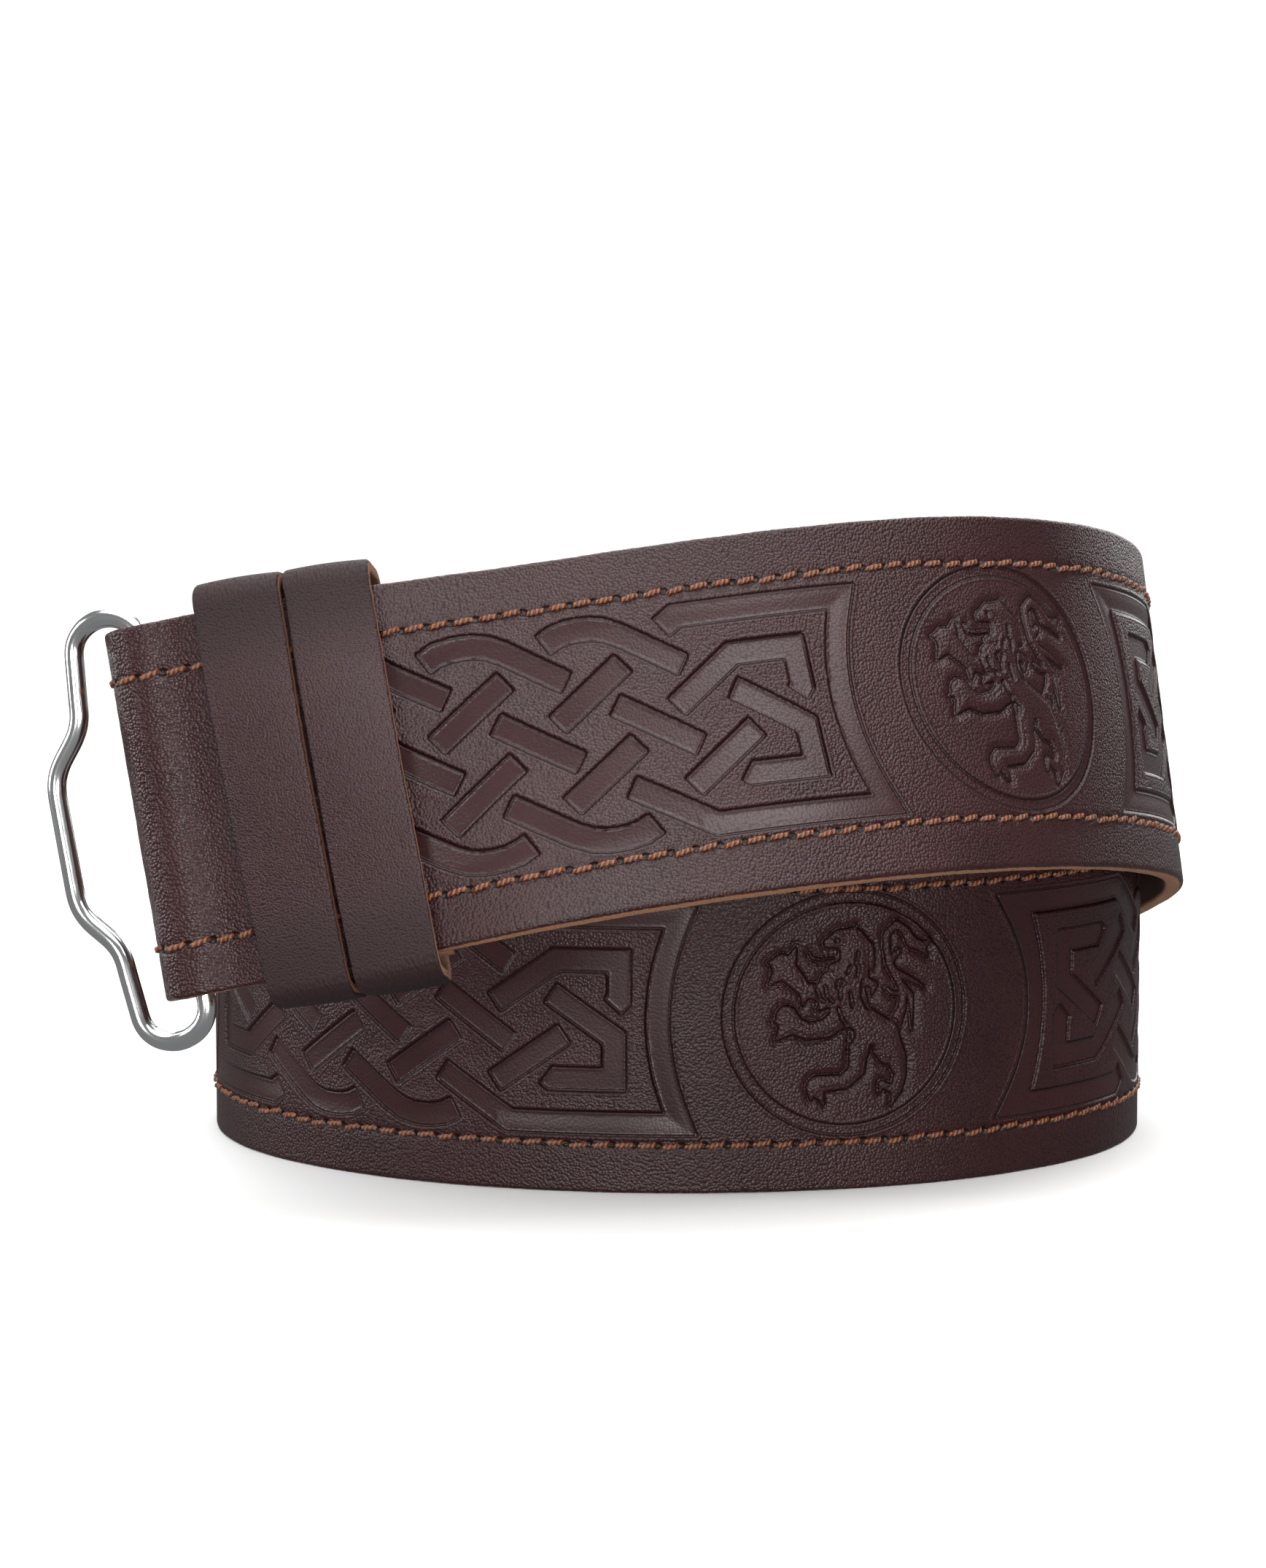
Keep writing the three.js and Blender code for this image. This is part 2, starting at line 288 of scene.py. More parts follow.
def interlaceBands():
    # outlines of a panel's bands: those that cross, the loops, and the frame with its inner corners
    column, row, reach = emboss["column"], emboss["row"], emboss["overHalf"]
    rise = reach * row / column
    top, bottom, edge = 2 * row, -2 * row, emboss["frameLine"]
    bands = []
    for at, level, way in [(0, 0, -1), (2, 0, -1), (1, 1, 1), (-1, 1, 1), (-3, 1, 1)]:
        x, y = at * column, level * row
        bands.append([(x - reach, y - way * rise), (x + reach, y + way * rise)])
    for x in (0, 2 * column):
        bands.append([
            (x - 15.3, top + 2.3), (x - 13.2, top + 3.4), (x - 11, edge - 0.1), (x - 9.35, edge),
            (x - 7.6, edge - 0.1), (x - 5.4, top + 3.3), (x - 3, top + 2.05), (x + reach, top - rise)])
    frameEnd = [(49.2 + 3.9 * (y / edge) ** 2, y) for y in np.linspace(edge, -edge, 13)]
    bands.append([(22.4, 15.3), (24.9, edge), *frameEnd, (24.6, -edge), (12.75, bottom + 3.85)])
    bands.append([(22.1, 2.35), (32.7, 9.7), (43, 9.7), (42.9, 3.3), (41.9, 2.2)])
    bands.append([(31.6, 4.3), (42.1, -2.9), (42.1, -9.7), (31.8, -9.7), (30.9, -9)])
    outlines = [ribbon(points, emboss["bandHalf"]) for points in bands]
    # the panel looks the same turned half round, and the crossing at its centre is already there
    return outlines + [-outline for outline in outlines[1:]]


def insideDistance(points, outline):
    # distance to a closed outline, below nought inside it
    start, side = outline, np.roll(outline, -1, axis=0) - outline
    gap = points[:, None, :] - start[None]
    share = np.clip((gap * side).sum(-1) / (side**2).sum(-1), 0, 1)
    distance = np.linalg.norm(gap - side * share[..., None], axis=-1).min(1)
    end = start + side
    spans = (start[:, 1] <= points[:, 1:]) != (end[:, 1] <= points[:, 1:])
    slope = np.where(np.abs(side[:, 1]) < 1e-9, 1, side[:, 1])
    crossing = start[:, 0] + (points[:, 1:] - start[:, 1]) / slope * side[:, 0]
    inside = (spans & (points[:, :1] < crossing)).sum(1) % 2 == 1
    return np.where(inside, -distance, distance)


def limbDistance(points, limb):
    # distance to a run of tapered limbs, each point of it with its own half-width
    nearest = np.full(len(points), 99.0)
    for (x0, y0, r0), (x1, y1, r1) in zip(limb[:-1], limb[1:]):
        side = np.array([x1 - x0, y1 - y0])
        gap = points - (x0, y0)
        share = np.clip(gap @ side / (side @ side), 0, 1)
        away = np.linalg.norm(gap - share[:, None] * side, axis=1) - (r0 + share * (r1 - r0))
        nearest = np.minimum(nearest, away)
    return nearest


# The lion, in millimetres from the medallion's middle: x, y and half-width along each limb
lionLimbs = {
    "head": [(-3.3, 11.3, 0.95), (-1.3, 11.9, 1.7), (0.6, 11.6, 2.2), (1.0, 9.4, 2.6)],
    "ear": [(0.6, 12.9, 0.7), (1.3, 14.0, 0.25)],
    "jaw": [(-0.6, 7.8, 1.1), (-2.9, 7.3, 0.6)],
    "tongue": [(-2.6, 8.9, 0.35), (-4.4, 8.6, 0.35), (-5.9, 8.9, 0.35), (-6.4, 9.9, 0.3)],
    "neck": [(1.2, 9.0, 2.4), (0.3, 5.4, 3.0), (-1.6, 3.2, 3.1)],
    "maneBack": [(1.4, 11.8, 1.4), (3.2, 10.4, 1.0), (3.6, 8.4, 0.8), (3.9, 6.7, 0.25)],
    "maneLock": [(1.8, 7.6, 1.3), (2.0, 5.2, 0.5)],
    "chest": [(-2.6, 4.6, 2.4), (-3.6, 2.9, 1.9)],
    "chestTuft": [(-3.4, 1.6, 1.1), (-5.2, 0.5, 0.3)],
    "lowTuft": [(-2.2, 1.2, 1.0), (-3.0, -0.4, 0.3)],
    "upperForeleg": [(-4.4, 3.1, 1.5), (-7.2, 3.9, 1.3), (-9.0, 6.0, 1.7), (-10.6, 7.9, 1.9)],
    "upperBackClaw": [(-9.2, 8.8, 1.0), (-8.4, 10.9, 0.2)],
    "upperClaw": [(-11.0, 8.2, 1.5), (-12.8, 8.4, 0.3)],
    "upperFrontClaw": [(-10.8, 6.9, 1.6), (-12.8, 4.6, 0.2)],
    "elbowTuft": [(-7.0, 3.2, 1.0), (-7.5, 1.1, 0.25)],
    "lowerForeleg": [(-1.2, -0.9, 2.0), (-3.6, -2.6, 1.7), (-6.6, -3.0, 1.5), (-8.9, -1.8, 1.65),
                     (-9.9, -0.4, 1.8)],
    "lowerClaw": [(-10.2, -1.0, 1.4), (-12.0, -1.4, 0.25)],
    "lowerFrontClaw": [(-9.9, -2.4, 1.6), (-11.7, -4.4, 0.2)],
    "body": [(0.4, 2.6, 2.5), (1.2, -0.6, 2.5), (4.2, -3.4, 2.9), (5.8, -4.2, 2.8)],
    "nearThigh": [(2.4, -4.2, 2.5), (1.5, -7.4, 1.6), (1.4, -9.6, 1.5), (-0.6, -11.5, 1.3),
                  (-5.0, -11.7, 1.5)],
    "nearToe": [(-5.3, -12.0, 1.5), (-3.9, -15.3, 0.2)],
    "nearHeel": [(-5.8, -12.4, 1.2), (-6.0, -14.3, 0.3)],
    "farThigh": [(5.6, -5.0, 2.6), (6.5, -7.1, 2.0)],
    "farLeg": [(6.0, -4.8, 2.7), (8.0, -8.0, 1.8), (8.7, -10.8, 1.15), (8.1, -13.2, 1.1),
               (7.3, -15.6, 0.3)],
    "farClaw": [(7.5, -13.2, 0.9), (5.5, -12.1, 0.6), (5.3, -13.7, 0.25)],
    "tail": [(7.6, -2.6, 1.3), (8.9, 0.2, 0.8), (9.2, 2.8, 0.7), (8.0, 5.2, 0.75), (6.7, 7.6, 0.75),
             (6.2, 10.4, 0.7), (6.3, 12.5, 0.7), (8.0, 13.9, 0.75), (9.6, 12.6, 0.85),
             (10.6, 10.8, 1.1), (12.4, 10.1, 0.9), (14.1, 11.3, 0.2)],
    "tailKnob": [(6.9, 8.2, 0.7), (8.5, 9.6, 0.45)],
    "tailTip": [(12.2, 9.8, 0.8), (13.4, 8.5, 0.2)],
    "tailPoint": [(7.9, 6.0, 0.75), (10.2, 4.9, 0.55), (12.9, 3.3, 0.2)],
    "tailSpike": [(8.9, 3.9, 0.65), (10.4, 2.2, 0.55), (10.7, -3.4, 0.2)],
    "backTuft": [(2.6, 4.9, 0.9), (4.2, 4.2, 0.7), (3.7, 2.5, 0.25)],
    "haunchTuft": [(8.9, 2.6, 0.6), (7.2, 2.7, 0.5), (6.1, 3.6, 0.25)],
}
lionCreases = {
    "mane": [(1.4, 9.7, 0), (1.1, 7.7, 0), (1.6, 7.2, 0), (1.2, 5.8, 0)],
    "maneCurl": [(-2.0, 4.1, 0), (-2.0, 4.9, 0), (-1.3, 5.3, 0), (-0.8, 4.7, 0), (-1.5, 3.8, 0),
                 (-1.5, 2.2, 0)],
    "throat": [(0.2, 7.4, 0), (-0.4, 6.4, 0)],
    "rib": [(0.1, 3.2, 0), (0.5, 0.9, 0)],
    "breast": [(-3.9, 4.3, 0), (-3.6, 2.7, 0), (-2.6, 1.8, 0)],
    "foreleg": [(-5.2, 3.9, 0), (-4.7, 2.3, 0), (-4.1, 1.9, 0)],
    "shoulder": [(-1.7, 0.6, 0), (-1.2, -1.2, 0), (-0.5, -2.0, 0)],
    "back": [(2.2, 5.1, 0), (2.0, 2.3, 0), (3.0, 0.6, 0)],
    "belly": [(-1.6, -3.5, 0), (0.2, -3.0, 0), (0.8, -3.8, 0), (0.3, -4.9, 0)],
    "hindLegs": [(3.8, -5.8, 0), (3.7, -7.0, 0)],
    "tailRoot": [(7.5, -1.6, 0), (8.3, -2.8, 0)],
}


def medallionRelief(points):
    # height, distance out of the groove, and distance into the lion's raised parts
    radius = np.linalg.norm(points - (0, emboss["medallionMiddle"]), axis=1)
    rim = np.abs(radius - emboss["medallion"]) - emboss["grooveHalf"]
    height = -emboss["grooveDepth"] * ease(-rim, *emboss["grooveWall"])
    height += emboss["domeHeight"] * (1 - ease(radius, emboss["domeStart"], emboss["medallion"] - 1))
    drawn = points - (0, emboss["figureMiddle"])
    lion = -np.min([limbDistance(drawn, limb) for limb in lionLimbs.values()], axis=0)
    lines = np.min([limbDistance(drawn, crease) for crease in lionCreases.values()], axis=0)
    lines = lines - emboss["creaseHalf"]
    eye = np.linalg.norm(drawn - emboss["eye"], axis=1) - emboss["eyeRadius"]
    creases = emboss["creaseDepth"] * bump(lines, *emboss["creaseLine"]) * (lion > 0)
    height -= emboss["figureDepth"] * bump(lion, *emboss["figureLine"]) + creases
    height += emboss["figurePuff"] * ease(lion, *emboss["figureRise"])
    height -= emboss["eyeDepth"] * bump(eye, *emboss["eyeLine"])
    return height, rim, np.minimum(lion, np.minimum(lines, eye))


def panelRelief(points):
    # height, and distance out of the pressed bands
    distance = np.full(len(points), 9.0)
    margin = emboss["clip"] + 0.5
    for outline in interlaceBands():
        near = ((points > outline.min(0) - margin) & (points < outline.max(0) + margin)).all(1)
        if near.any():
            distance[near] = np.minimum(distance[near], insideDistance(points[near], outline))
    away, half = np.abs(points), emboss["panelHalf"]
    hollow = (emboss["cornerHalf"] - half) * (points[:, 1] / emboss["sideHalf"]) ** 2
    side = emboss["sideHalf"] - away[:, 1] + emboss["flankPlay"] * (away[:, 0] < emboss["flankHalf"])
    inwards = np.minimum(side, half + hollow - away[:, 0])
    least = emboss["borderShare"]
    depth = emboss["bandDepth"] * (least + (1 - least) * ease(inwards, *emboss["borderFade"]))
    height = -depth * ease(-distance, -emboss["wall"], emboss["wall"])
    height += emboss["puff"] * bump(distance, *emboss["puffLine"]) * (inwards > 0)
    return height, distance


def relief(along, across):
    # the pattern's height, the distances to its edges and to the lion's, which are above nought
    # on the raised side of them, and how smooth the leather is
    clip = emboss["clip"]
    pattern = np.interp(along, patternMarks[:, 0], patternMarks[:, 1])
    repeat = emboss["repeat"]
    fromMedallion = (pattern + repeat / 2) % repeat - repeat / 2
    fromPanel = pattern % repeat - repeat / 2
    height, smooth = np.zeros(len(along)), np.zeros(len(along))
    edge, figure = np.full(len(along), clip), np.full(len(along), -clip)
    near = np.abs(fromMedallion) < emboss["medallion"] + 3
    if near.any():
        spots = np.stack([fromMedallion, across], 1)[near]
        height[near], edge[near], figure[near] = medallionRelief(spots)
    near = (np.abs(fromPanel) < emboss["cornerHalf"] + 2) & (np.abs(across) < emboss["reach"])
    if near.any():
        spots = np.stack([fromPanel, across - emboss["middle"]], 1)[near]
        height[near], edge[near] = panelRelief(spots)
        smooth[near] = ease(-edge[near], *emboss["smoothStart"])
    kept = ease(along, *emboss["wornEnd"])
    height *= emboss["wornShare"] + (1 - emboss["wornShare"]) * kept
    edge = np.clip(edge, -clip, clip) * kept + clip * (1 - kept)
    figure = np.clip(figure, -clip, clip) * kept - clip * (1 - kept)
    return height, edge, figure, smooth


# Meshes

def clearSelection():
    for thing in bpy.context.selected_objects:
        thing.select_set(False)


def pointsOf(piece):
    spots = np.zeros(len(piece.data.vertices) * 3)
    piece.data.vertices.foreach_get("co", spots)
    return spots.reshape(-1, 3)


def gridPiece(name, columns, rows):
    # a flat grid primitive with so many points each way, and each point's column and row
    clearSelection()
    bpy.ops.mesh.primitive_grid_add(x_subdivisions=columns - 1, y_subdivisions=rows - 1, size=2)
    piece = bpy.context.object
    piece.name = piece.data.name = name
    spots = pointsOf(piece)
    column = np.rint((spots[:, 0] + 1) / 2 * (columns - 1)).astype(int)
    row = np.rint((spots[:, 1] + 1) / 2 * (rows - 1)).astype(int)
    return piece, column, row


def placeMesh(piece, points):
    piece.data.vertices.foreach_set("co", (points * mm).astype(np.float32).ravel())
    piece.data.update()


def giveMap(piece, u, v):
    # the piece's own map in metres: u along it, v round it
    corners = np.zeros(len(piece.data.loops), int)
    piece.data.loops.foreach_get("vertex_index", corners)
    layer = piece.data.uv_layers.active or piece.data.uv_layers.new(name="UVMap")
    spots = np.stack([u[corners], v[corners]], 1) * mm
    layer.data.foreach_set("uv", spots.astype(np.float32).ravel())


def giveAttribute(piece, name, values):
    attribute = piece.data.attributes.new(name, "FLOAT", "POINT")
    attribute.data.foreach_set("value", values.astype(np.float32))


def closeRing(piece, capEnds):
    # joins the first and last rows, closes the open ends and turns the faces out
    bpy.context.view_layer.objects.active = piece
    piece.select_set(True)
    bpy.ops.object.mode_set(mode="EDIT")
    bpy.ops.mesh.select_all(action="SELECT")
    bpy.ops.mesh.remove_doubles(threshold=1e-7)
    if capEnds:
        bpy.ops.mesh.select_all(action="DESELECT")
        bpy.ops.mesh.select_mode(type="EDGE")
        bpy.ops.mesh.select_non_manifold(extend=False)
        bpy.ops.mesh.fill_holes(sides=0)
        bpy.ops.mesh.select_mode(type="VERT")
    bpy.ops.mesh.select_all(action="SELECT")
    bpy.ops.mesh.normals_make_consistent(inside=False)
    bpy.ops.mesh.select_all(action="DESELECT")
    bpy.ops.object.mode_set(mode="OBJECT")
    bpy.ops.object.shade_smooth_by_angle(angle=math.radians(35))
    clearSelection()


def sectionRound(face, half, thick, bend, underPoints):
    # once round a strip's section, from the points on the right half of its face: sideways and depth,
    # and the length round it from the middle of the face
    corner = np.radians([0, 30, 60, 90])
    turnOut = np.stack([half - bend + bend * np.sin(corner), bend - bend * np.cos(corner)], 1)
    turnIn = np.stack([half - bend + bend * np.cos(corner), thick - bend + bend * np.sin(corner)], 1)
    under = np.linspace(half - bend, 0, underPoints)[1:]
    right = np.vstack([
        np.stack([face, 0 * face], 1), turnOut, [(half, thick / 2)], turnIn,
        np.stack([under, 0 * under + thick], 1)])
    length = right[0, 0] + lengthsAlong(right)
    rows = np.vstack([right[::-1], right[:-1] * (-1, 1), [right[-1]]])
    return rows, np.concatenate([length[::-1], -length[:-1], [-length[-1]]])


def finishPiece(piece, material, body, node=None):
    piece.data.materials.append(material)
    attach(piece, body)
    if node:
        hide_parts(node)


# Materials

class Value:
    # a number or vector that nodes work out: sums on it add Math nodes
    def __init__(self, finish, socket):
        self.finish, self.socket = finish, socket

    def math(self, operation, *values):
        return self.finish.node("ShaderNodeMath", {"operation": operation}, dict(enumerate(values)))

    def __add__(self, other):
        return self.math("ADD", self, other)

    def __mul__(self, other):
        return self.math("MULTIPLY", self, other)

    def __sub__(self, other):
        return self.math("SUBTRACT", self, other)

    def __rsub__(self, other):
        return self.math("SUBTRACT", other, self)

    def __truediv__(self, other):
        return self.math("DIVIDE", self, other)

    def size(self):
        return self.math("ABSOLUTE", self)

    def part(self):
        return self.math("FRACT", self)

    def wave(self):
        return self.math("SINE", self)

    def smooth(self, start, end):
        settings = {"interpolation_type": "SMOOTHSTEP"}
        values = {"Value": self, "From Min": start, "From Max": end}
        return self.finish.node("ShaderNodeMapRange", settings, values)

    __radd__ = __add__
    __rmul__ = __mul__


class Finish:
    # one material and the nodes that make it
    def __init__(self, name):
        self.material = bpy.data.materials.new(name)
        self.material.use_nodes = True
        self.tree = self.material.node_tree
        self.shader = self.tree.nodes["Principled BSDF"]

    def node(self, kind, settings=None, values=None, output=0):
        made = self.tree.nodes.new(kind)
        for name, setting in (settings or {}).items():
            setattr(made, name, setting)
        for name, value in (values or {}).items():
            if isinstance(value, Value):
                self.tree.links.new(value.socket, made.inputs[name])
            else:
                made.inputs[name].default_value = value
        return Value(self, made.outputs[output])

    def mix(self, share, first, second):
        colours = [c if isinstance(c, Value) else (*c, 1) for c in (first, second)]
        values = {0: share, 6: colours[0], 7: colours[1]}
        return self.node("ShaderNodeMix", {"data_type": "RGBA"}, values, output=2)

    def noise(self, place, scale, detail=2.0, roughness=0.5):
        values = {"Vector": place, "Scale": scale, "Detail": detail, "Roughness": roughness}
        return self.node("ShaderNodeTexNoise", None, values)

    def mapValues(self):
        place = self.node("ShaderNodeUVMap", {"uv_map": "UVMap"})
        u, v = (self.node("ShaderNodeSeparateXYZ", None, {0: place}, output=k) for k in (0, 1))
        return place, u, v

    def vectors(self, operation, first, second):
        return self.node("ShaderNodeVectorMath", {"operation": operation}, {0: first, 1: second})

    def attribute(self, name):
        return self.node("ShaderNodeAttribute", {"attribute_name": name}, output="Fac")

    def feed(self, name, value):
        if isinstance(value, Value):
            self.tree.links.new(value.socket, self.shader.inputs[name])
        else:
            self.shader.inputs[name].default_value = value

    def bumps(self, height, distance, strength):
        values = {"Height": height, "Distance": distance, "Strength": strength}
        self.feed("Normal", self.node("ShaderNodeBump", None, values))


stitch = {
    "inset": 7.9,          # from the strap's edge to the thread
    "pitch": 3.75,
    "length": 3.4,
    "radius": 0.42,
    "flatness": 0.9,
    "slant": 8.5,          # degrees
    "scatter": (0.08, 0.13, 0.05),  # of a stitch's start, its side and its slant
    "crown": 0.26,         # rise from the ends to the middle
    "sunk": 0.1,           # how far all of it lies in the leather
    "endDip": 0.3,         # and the tips besides
    "sides": 8,
    "rings": 9,
    "plyTwist": 14,        # radians from end to end
    "plyRelief": 0.14,
    "plyPitch": 0.85,      # of the stripes in its colour
    "shownTo": 742,        # beyond it the front of the leather hides in the roll
    "backFrom": 13,        # behind the strap, the first stitch that the tail doesn't hide
    "holeRadius": 0.42,
    "channelHalf": 0.75,   # the row lies in a shallow channel, deeper at each hole
    "channelDepth": 0.12,
    "holeDepth": 0.25,
    # from the painted shade between the thread's plies to the painted highlight on them
    "dark": (0.03, 0.008, 0.003),
    "light": (0.17, 0.05, 0.0145),
}
stitchAcross = strap["width"] / 2 - stitch["inset"]

leatherLook = {
    "dark": (0.0095, 0.0022, 0.0026),
    "light": (0.0238, 0.006, 0.0066),
    "pressed": (0.0208, 0.0052, 0.0058),
    # painted shade along the foot of each pressed edge
    "crease": (0.003, 0.001, 0.001),
    # painted shade in the stitch holes
    "hole": (0.0025, 0.001, 0.001),
    "tanDark": (0.085, 0.034, 0.016),
    "tanLight": (0.21, 0.1, 0.05),
    "suedeDark": (0.055, 0.028, 0.02),
    "suedeLight": (0.105, 0.057, 0.04),
    "creaseShade": 0.52,    # how far the painted shade in creases, the pressed bands, the painted shade in stitch holes and the painted shade at the keepers' ends take their colours
    "pressedShade": 0.25,
    "holeShade": 0.9,
    "paintedEndShade": 0.75,
    "grain": 2100,          # pebbles to the metre
    "keeperGrain": 2700,
    "grainWarp": 0.00025,   # metres
    "grainPressed": 0.82,   # share of the grain that is gone where the leather is pressed
    "clouds": 45,           # to the metre
    "fibres": 3800,
    "rawStart": (0.1, 0.55),     # past the edge of the face, where the tan edge begins
    "suedeStart": (-0.5, 0.2),   # past the far side of that edge
    "stray": 0.6,
    "roughness": 0.37,
    "rawRoughness": 0.92,
    "shadeRubRoughness": 0.3,
    "specular": 0.28,
    "bumpDistance": 0.00015,     # metres
    "bumpStrength": 0.78,
}


def leather(name, halfWidth, thickness, grain, embossed):
    look = leatherLook
    finish = Finish(name)
    place, u, v = finish.mapValues()
    off = v.size() - halfWidth * mm  # past the edge of the grain face
    wander = finish.noise(place, 1400, 3) * (look["stray"] * mm) - look["stray"] / 2 * mm
    raw = (off + wander).smooth(*(start * mm for start in look["rawStart"]))
    suede = (off + wander * 2).smooth(*((thickness + start) * mm for start in look["suedeStart"]))
    clouds = finish.noise(place, look["clouds"], 4, 0.6)
    warp = finish.node("ShaderNodeTexNoise", None, {"Vector": place, "Scale": 900.0}, output=1)
    warp = finish.vectors("MULTIPLY", warp, (look["grainWarp"], look["grainWarp"], 0))
    grainPlace = {"Vector": finish.vectors("ADD", place, warp), "Scale": float(grain)}
    pebbles = finish.node("ShaderNodeTexVoronoi", {"voronoi_dimensions": "2D"}, grainPlace)
    fine = finish.noise(place, grain * 2.2, 2)
    grainHeight = 1 - pebbles * 1.1 + fine * 0.5
    shade = clouds * 0.6 + grainHeight * 0.45 + fine * 0.25
    colour = finish.mix(shade.smooth(0.45, 1.05), look["dark"], look["light"])
    grainAmount = 1.0
    if embossed:
        edge, figure, smooth = (finish.attribute(name) for name in ("edge", "figure", "smooth"))
        # painted shade along the foot of each pressed edge, and a rounded ridge along its top
        crease = 2 - (edge + 0.1).size().smooth(0.04, 0.3) - (figure + 0.1).size().smooth(0.04, 0.3)
        ridge = 2 - (edge - 0.42).size().smooth(0.05, 0.4) - (figure - 0.42).size().smooth(0.05, 0.4)
        grainAmount = 1 - smooth * look["grainPressed"]
        # painted shade in the creases
        colour = finish.mix(crease * look["creaseShade"], colour, look["crease"])
        colour = finish.mix(smooth * look["pressedShade"], colour, look["pressed"])
        # painted shade in each stitch hole
        hop = (u / (stitch["pitch"] * mm) + 0.5).part() - 0.5
        sideways = (v.size() - stitchAcross * mm) / (stitch["holeRadius"] * mm)
        endways = hop * (stitch["pitch"] / stitch["holeRadius"])
        hole = 1 - (sideways * sideways + endways * endways * 0.6).smooth(0.1, 2.6)
        colour = finish.mix(hole * look["holeShade"], colour, look["hole"])
        deep = ridge * 0.9 - crease * 2 - hole * 2.5
    shadeAndRub = 1 - finish.attribute("endShadeAndRub")  # one at the keepers' ends, which get painted shade and turn duller, and below nought on the fold, which is rubbed shinier
    # painted shade: the keepers' ends take the leather's dark colour
    colour = finish.mix(shadeAndRub * look["paintedEndShade"], colour, look["dark"])
    fibres = finish.noise(place, look["fibres"], 3, 0.7)
    tan = finish.mix(fibres.smooth(0.32, 0.68), look["tanDark"], look["tanLight"])
    back = finish.mix(fibres.smooth(0.3, 0.75), look["suedeDark"], look["suedeLight"])
    colour = finish.mix(suede, finish.mix(raw, colour, tan), back)
    finish.feed("Base Color", colour)
    rough = clouds * 0.14 + pebbles * 0.16 + (look["roughness"] - 0.14) + shadeAndRub * look["shadeRubRoughness"]
    finish.feed("Roughness", rough * (1 - raw) + raw * look["rawRoughness"])
    finish.feed("Specular IOR Level", look["specular"])
    height = grainHeight * grainAmount * (1 - raw)
    if embossed:
        height = height + deep * (1 - raw)
    finish.bumps(height + fibres * raw * 2.2, look["bumpDistance"], look["bumpStrength"])
    return finish.material


def threadFinish():
    finish = Finish("waxedThread")
    place, u, v = finish.mapValues()
    # two plies laid up: stripes that run slantwise round the thread, painted shade between the plies
    # and painted highlight on them
    turn = u / (stitch["plyPitch"] * mm) + v / (math.tau * stitch["radius"] * mm)
    ply = (turn * math.tau).wave()
    fuzz = finish.noise(place, 5200, 2)
    shade = (ply * 0.5 + fuzz).smooth(-0.1, 1.1)
    finish.feed("Base Color", finish.mix(shade, stitch["dark"], stitch["light"]))
    finish.feed("Roughness", 0.5)
    finish.bumps(ply + fuzz * 0.6, 0.0001, 0.8)
    return finish.material


# The strap, in lengths that meet at plain places

strapPieces = {
    # start, end and pitch of each length of leather, in millimetres
    "strap_fold": (tailEnd, 123.4, 0.42),
    "strap_raised": (123.4, 333, 0.42),
    "strap_back": (333, 494, 0.42),
    "strap_front": (494, 657, 0.4),
    "strap_right": (657, 736, 0.42),
    "strap_inside": (736, routeLength, 2.2),
}


faceRows = {
    "fineStep": 0.4,       # between rows across the pattern
    "fineReach": 21.9,
    "marginStart": 22.8,   # and beside it
    "marginStep": 0.95,
    "plainStep": 2.4,      # on the length with no pattern, inside the roll
    "plainStart": 0.9,
}


def sectionRows(fine):
    half, bend = strap["width"] / 2, strap["edgeRound"]
    margin, plain = faceRows["marginStep"], faceRows["plainStep"]
    if fine:
        middle = np.arange(0, faceRows["fineReach"], faceRows["fineStep"]) + faceRows["fineStep"] / 2
        beside = np.arange(faceRows["marginStart"], half - bend - 0.3, margin)
    else:
        middle, beside = [plain / 2], np.arange(faceRows["plainStart"], half - bend - 0.3, plain)
    face = np.concatenate([middle, beside])
    return sectionRound(face, half, strap["thickness"], bend, 10 if fine else 6)


def strapLength(name, start, end, pitch, material):
    rows, roundLengths = sectionRows(pitch < 1)
    count = int(math.ceil((end - start) / pitch)) + 1
    piece, column, row = gridPiece(name, count, len(rows))
    along = start + (end - start) * column / (count - 1)
    across, depth = rows[row, 0], rows[row, 1]
    height, smooth = np.zeros(len(along)), np.zeros(len(along))
    edge, figure = np.full(len(along), emboss["clip"]), np.full(len(along), -emboss["clip"])
    face = depth < 1e-6
    if pitch < 1:
        height[face], edge[face], figure[face], smooth[face] = relief(along[face], across[face])
        fromHole = ((along / stitch["pitch"] + 0.5) % 1 - 0.5) * stitch["pitch"]
        channel = bump(np.abs(across), stitchAcross, stitch["channelHalf"])
        dip = stitch["channelDepth"] + stitch["holeDepth"] * bump(fromHole, 0, 0.5)
        height -= face * channel * dip
    # the raw edges aren't cut quite true
    long, short = strap["edgeStray"]
    wave = long * np.sin(along * 0.31) * np.sin(along * 0.17 + 1)
    wave += short * np.sin(along * 3.1) * np.sin(along * 0.7)
    wave *= ease(np.abs(across), strap["width"] / 2 - 2, strap["width"] / 2)
    placeMesh(piece, onCourse(along, across + np.sign(across) * wave, depth - height))
    giveMap(piece, along, roundLengths[row])
    giveAttribute(piece, "edge", edge)
    giveAttribute(piece, "figure", figure)
    giveAttribute(piece, "smooth", smooth)
    giveAttribute(piece, "endShadeAndRub", 1 + strap["rubbed"] * (1 - ease(along, *strap["rubbedEnd"])))
    closeRing(piece, True)
    finishPiece(piece, material, "belt", "strap")
    print(name, len(piece.data.polygons), "faces")


def makeStrap():
    grain = leatherLook["grain"]
    material = leather("embossedLeather", strap["width"] / 2, strap["thickness"], grain, True)
    for name, (start, end, pitch) in strapPieces.items():
        strapLength(name, start, end, pitch, material)


# Stitches

